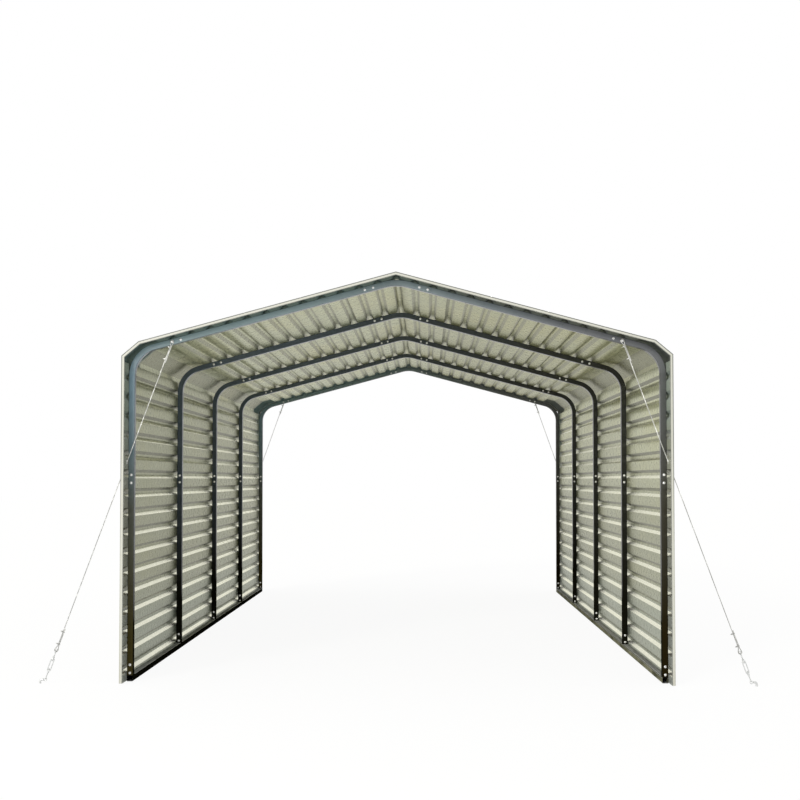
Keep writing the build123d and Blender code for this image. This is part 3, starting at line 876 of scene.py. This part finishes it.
def ease(t):
    """Share of a smooth change at a share of its length."""
    return t * t * (3 - 2 * t)


def loop_line(centre, away, across, tail_first):
    """Centre line of the wire round one thimble, from the end of its tail to the wire proper."""
    tail_steps = 14
    throat_steps = 12
    arc_steps = 18
    line = []
    for i in range(tail_steps):
        reach = tail_length + (throat_length - tail_length) * i / tail_steps
        line.append(centre + away * reach + across * tail_offset)
    for i in range(throat_steps):
        t = i / throat_steps
        offset = tail_offset + (loop_radius - tail_offset) * ease(t)
        line.append(centre + away * (throat_length * (1 - t)) + across * offset)
    for i in range(arc_steps + 1):
        a = pi * i / arc_steps
        line.append(centre + (across * cos(a) - away * sin(a)) * loop_radius)
    for i in range(1, throat_steps + 1):
        t = i / throat_steps
        line.append(centre + away * (throat_length * t) - across * (loop_radius * (1 - ease(t))))
    return line if tail_first else list(reversed(line))


def even_points(line, step):
    """Points an equal step apart along a line."""
    even = [line[0]]
    reach = step
    done = 0.0
    for start, end in zip(line, line[1:]):
        length = (end - start).length
        while reach <= done + length:
            even.append(start + (end - start) * ((reach - done) / length))
            reach += step
        done += length
    even.append(line[-1])
    return even


def cable(bm, line):
    """Six strands laid round a core along a line."""
    points = even_points(line, strand_turn / points_per_turn)
    lay_radius = wire_radius - strand_radius
    sides = 5
    ways = [(b - a).normalized() for a, b in zip(points, points[1:])]
    ways.append(ways[-1])
    across = ways[0].orthogonal()
    frames = []
    for way in ways:
        across = (across - way * across.dot(way)).normalized()
        frames.append((across.copy(), way.cross(across)))
    for s in range(strand_count):
        strand = []
        for i, (point, (u, v)) in enumerate(zip(points, frames)):
            a = 2 * pi * (s / strand_count + i / points_per_turn)
            strand.append(point + (u * cos(a) + v * sin(a)) * lay_radius)
        swept(bm, strand, strand_radius, sides)
    swept(bm, points[::3] + [points[-1]], strand_radius, sides)


def wire_clip(bm, centre, way, across):
    """Saddle, U-bolt and two nuts that hold the wire's tail to the wire."""
    other = way.cross(across)
    half_gap = wire_radius + clip_clearance + clip_bar
    bend_steps = 10
    line = [centre - across * clip_leg_end + other * half_gap]
    for i in range(bend_steps + 1):
        a = pi * i / bend_steps
        line.append(centre + across * (tail_offset + half_gap * sin(a)) + other * (half_gap * cos(a)))
    line.append(centre - across * clip_leg_end - other * half_gap)
    swept(bm, line, clip_bar, 8)
    saddle = bmesh.ops.create_cube(bm, size=1.0)["verts"]
    size = Matrix.Diagonal((saddle_depth, saddle_width, saddle_length, 1))
    turn = Matrix((across, other, way)).transposed().to_4x4()
    turn.translation = centre - across * (wire_radius + saddle_depth / 2 - saddle_sink)
    bmesh.ops.transform(bm, matrix=turn @ size, verts=saddle)
    saddle_edges = list({edge for vert in saddle for edge in vert.link_edges})
    bmesh.ops.bevel(bm, geom=saddle_edges, offset=0.0012, segments=2, affect="EDGES")
    nut_reach = wire_radius + saddle_depth - 2 * saddle_sink
    for side in side_pair:
        base = centre - across * nut_reach + other * (side * half_gap)
        hexagon(bm, axes(base, -across, way), 0.0, clip_nut_height, clip_nut_across)


def guy_wires(gable):
    """Both stranded wires of one gable with their thimbles and clips."""
    bm = bmesh.new()
    for side in side_pair:
        stay = Stay(side, gable)
        lower = loop_line(stay.wire_end, -stay.way, stay.across, tail_first=True)
        upper = loop_line(stay.top, stay.way, stay.across, tail_first=False)
        cable(bm, lower + upper)
        for centre, way in ((stay.wire_end, -stay.way), (stay.top, stay.way)):
            ring = ring_points(centre, stay.way, stay.across, thimble_radius, 32)
            swept(bm, ring, thimble_bar, 10, closed=True)
            for place in clip_places:
                wire_clip(bm, centre + way * place, way, stay.across)
    return bm


def eye_ring(bm, centre, u, v):
    """Ring of an eye in the plane of two directions."""
    swept(bm, ring_points(centre, u, v, eye_ring_radius, 36), eye_bar / 2, 12, closed=True)


def turnbuckle_loop(bm, stay):
    """Forged loop that joins a turnbuckle's two bosses."""
    half_width = turnbuckle_width / 2 - turnbuckle_bar
    half_straight = turnbuckle_length / 2 - turnbuckle_end
    middle = (stay.body_low + stay.body_high) / 2
    corner_steps = 8
    loop = []
    for end in (1, -1):
        for i in range(corner_steps + 1):
            a = pi * i / corner_steps
            along = end * (half_straight + turnbuckle_corner * sin(a))
            loop.append(middle + stay.way * along + stay.across * (end * half_width * cos(a)))
    swept(bm, loop, turnbuckle_bar, 10, closed=True, side=stay.face, flat=1.35)


def screw_eye(bm, stay, end, centre):
    """Boss at one end of a turnbuckle, with a threaded eye and its lock nut."""
    out = (centre - end).normalized()
    turned(bm, axes(end - out * turnbuckle_end, out), boss_profile, 20)
    shank = axes(end - out * (turnbuckle_end + screw_show), out)
    length = turnbuckle_end + screw_show + screw_length + shank_overlap
    threads(bm, shank, 0.0, length - shank_plain, shank_radius)
    turned(bm, axes(end + out * (screw_length + shank_overlap), out), neck_profile, 14)
    hexagon(bm, axes(end, out), 0.0, lock_nut_height, lock_nut_across)
    eye_ring(bm, centre, stay.way, stay.face)


def turnbuckles():
    """An open turnbuckle for each wire."""
    bm = bmesh.new()
    for gable in side_pair:
        for side in side_pair:
            stay = Stay(side, gable)
            turnbuckle_loop(bm, stay)
            screw_eye(bm, stay, stay.body_low, stay.lower_eye)
            screw_eye(bm, stay, stay.body_high, stay.upper_eye)
    return bm


def ground_stakes():
    """Round stakes, each bent over to an eye that holds the turnbuckle."""
    bm = bmesh.new()
    bend_steps = 10
    up = Vector((0, 0, 1))
    for gable in side_pair:
        for side in side_pair:
            stay = Stay(side, gable)
            outwards = Vector((side, 0, 0))
            line = [stay.stake_eye + outwards * stake_tip_reach]
            turn_centre = stay.stake_eye + outwards * (stake_arm - stake_bend_radius) - up * stake_bend_radius
            for i in range(bend_steps + 1):
                a = pi / 2 * i / bend_steps
                line.append(turn_centre + (up * cos(a) + outwards * sin(a)) * stake_bend_radius)
            line.append(stay.stake_eye + outwards * stake_arm - up * stake_eye_height)
            swept(bm, line, stake_radius, 20)
            eye_ring(bm, stay.stake_eye, stay.way, stay.across)
    return bm


front_wires = piece_from(guy_wires(-1), "front_stranded_wires", [wire_zinc])
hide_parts("front_guy_wires")
rear_wires = piece_from(guy_wires(1), "rear_stranded_wires", [wire_zinc])
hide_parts("rear_guy_wires")
tensioners = piece_from(turnbuckles(), "wire_tensioners", [fitting_zinc])
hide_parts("turnbuckles")
stakes = piece_from(ground_stakes(), "bent_stakes", [fitting_zinc])
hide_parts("ground_stakes")


# Floor, light and camera

def seen_rays(tree):
    """1 for rays from the camera, from a mirror or through glass."""
    path = tree.nodes.new("ShaderNodeLightPath")
    first = tree.nodes.new("ShaderNodeMath")
    first.operation = "MAXIMUM"
    second = tree.nodes.new("ShaderNodeMath")
    second.operation = "MAXIMUM"
    tree.links.new(path.outputs["Is Camera Ray"], first.inputs[0])
    tree.links.new(path.outputs["Is Glossy Ray"], first.inputs[1])
    tree.links.new(first.outputs[0], second.inputs[0])
    tree.links.new(path.outputs["Is Transmission Ray"], second.inputs[1])
    return second.outputs[0]


def pale_floor():
    """Floor material: near white where it is seen, and dull enough to keep the carport's shadow."""
    material = bpy.data.materials.new("pale_floor")
    material.use_nodes = True
    tree = material.node_tree
    tree.nodes.clear()
    output = tree.nodes.new("ShaderNodeOutputMaterial")
    diffuse = tree.nodes.new("ShaderNodeBsdfDiffuse")
    diffuse.inputs["Color"].default_value = (0.66, 0.65, 0.61, 1)
    white = tree.nodes.new("ShaderNodeEmission")
    white.inputs["Strength"].default_value = 1.08
    share = tree.nodes.new("ShaderNodeMath")
    share.operation = "MULTIPLY"
    share.inputs[1].default_value = 0.86
    blend = tree.nodes.new("ShaderNodeMixShader")
    tree.links.new(seen_rays(tree), share.inputs[0])
    tree.links.new(share.outputs[0], blend.inputs[0])
    tree.links.new(diffuse.outputs[0], blend.inputs[1])
    tree.links.new(white.outputs[0], blend.inputs[2])
    tree.links.new(blend.outputs[0], output.inputs["Surface"])
    return material


def floor():
    bm = bmesh.new()
    half = 60.0
    corners = ((-half, -half), (half, -half), (half, half), (-half, half))
    bm.faces.new([bm.verts.new((x, y, 0)) for x, y in corners])
    mesh = bpy.data.meshes.new("floor")
    bm.to_mesh(mesh)
    bm.free()
    mesh.materials.append(pale_floor())
    ground = bpy.data.objects.new("floor", mesh)
    bpy.context.scene.collection.objects.link(ground)


def world_light():
    """White where it is seen, and a plain soft light elsewhere."""
    world = bpy.data.worlds.new("soft_sky")
    world.use_nodes = True
    tree = world.node_tree
    tree.nodes.clear()
    output = tree.nodes.new("ShaderNodeOutputWorld")
    seen = tree.nodes.new("ShaderNodeBackground")
    seen.inputs["Color"].default_value = (1, 1, 1, 1)
    light = tree.nodes.new("ShaderNodeBackground")
    light.inputs["Color"].default_value = (0.97, 0.99, 1.0, 1)
    light.inputs["Strength"].default_value = 0.66
    blend = tree.nodes.new("ShaderNodeMixShader")
    tree.links.new(seen_rays(tree), blend.inputs[0])
    tree.links.new(light.outputs[0], blend.inputs[1])
    tree.links.new(seen.outputs[0], blend.inputs[2])
    tree.links.new(blend.outputs[0], output.inputs["Surface"])
    bpy.context.scene.world = world


def aimed(obj, place, target):
    """Puts an object in the scene at a place, looking at a target."""
    obj.location = place
    obj.rotation_euler = (Vector(target) - Vector(place)).to_track_quat("-Z", "Y").to_euler()
    bpy.context.scene.collection.objects.link(obj)


def area_light(name, place, target, size, power, colour):
    light = bpy.data.lights.new(name, "AREA")
    light.shape = "RECTANGLE"
    light.size, light.size_y = size
    light.energy = power
    light.color = colour
    aimed(bpy.data.objects.new(name, light), place, target)


def sun_light(name, place, target, power, spread, colour):
    light = bpy.data.lights.new(name, "SUN")
    light.energy = power
    light.angle = spread
    light.color = colour
    aimed(bpy.data.objects.new(name, light), place, target)


camera_place = (0.191, -10.472, 1.356)
camera_lens = 50.23             # millimetres, on a sensor of 36
camera_rise = radians(1.736)
camera_turn = radians(1.268)    # to the left
framing_shift = 0.05625         # up, as a share of the picture's width


def camera():
    """Camera at the photograph's place, with its framing."""
    lens = bpy.data.cameras.new("camera")
    lens.lens = camera_lens
    lens.sensor_width = 36.0
    lens.shift_y = framing_shift
    lens.clip_end = 200
    eye = bpy.data.objects.new("camera", lens)
    eye.location = camera_place
    eye.rotation_euler = (pi / 2 + camera_rise, 0, camera_turn)
    bpy.context.scene.collection.objects.link(eye)
    bpy.context.scene.camera = eye


floor()
world_light()
sun_light("sun", (-5, -8, 5), (0, 0, 1), 1.0, radians(12), (1.0, 0.98, 0.94))
area_light("front_fill", (-4.5, -8.5, 3.2), (1.2, -0.5, 1.4), (4.0, 3.0), 80.0, (1.0, 0.99, 0.97))
camera()
bpy.context.scene.view_settings.view_transform = "Standard"
